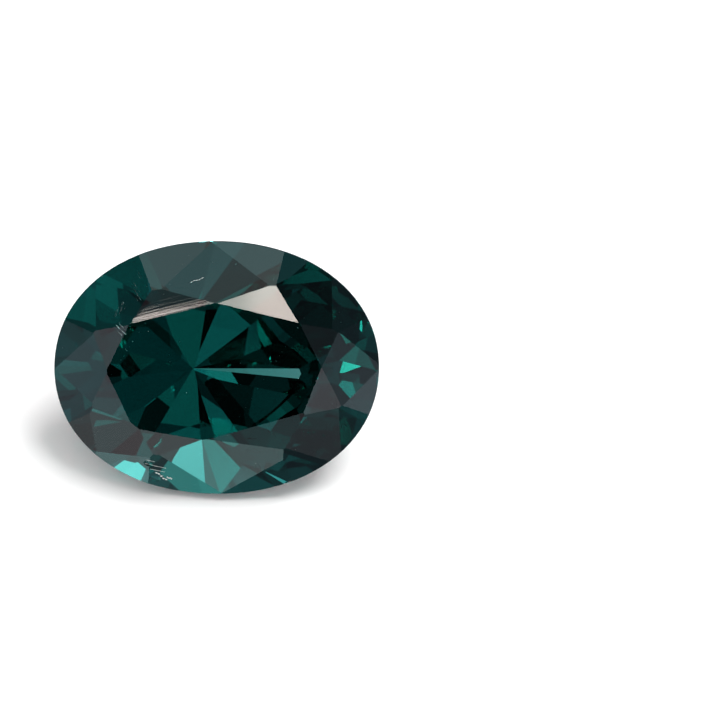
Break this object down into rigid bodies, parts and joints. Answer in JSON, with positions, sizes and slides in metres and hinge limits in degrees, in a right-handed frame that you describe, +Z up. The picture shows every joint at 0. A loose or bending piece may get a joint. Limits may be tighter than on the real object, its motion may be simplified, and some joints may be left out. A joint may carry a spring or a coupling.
{
  "type": "oval faceted gemstone",
  "caption": "Loose oval cut gemstone in deep bluish green: a faceted crown with a flat table, a thin girdle and a pointed pavilion.",
  "frame": {"origin": "bottom centre of the bounding box, on the surface that the stone rests on", "axes": "+X along the oval's length, +Z up, -Y the side that the table faces"},
  "size_m": [0.009, 0.0052, 0.0053],
  "materials": {
    "crystal": "polished, see-through, deep bluish green"
  },
  "bodies": {
    "root": {"gemstone": "crystal"}
  },
  "joints": []
}
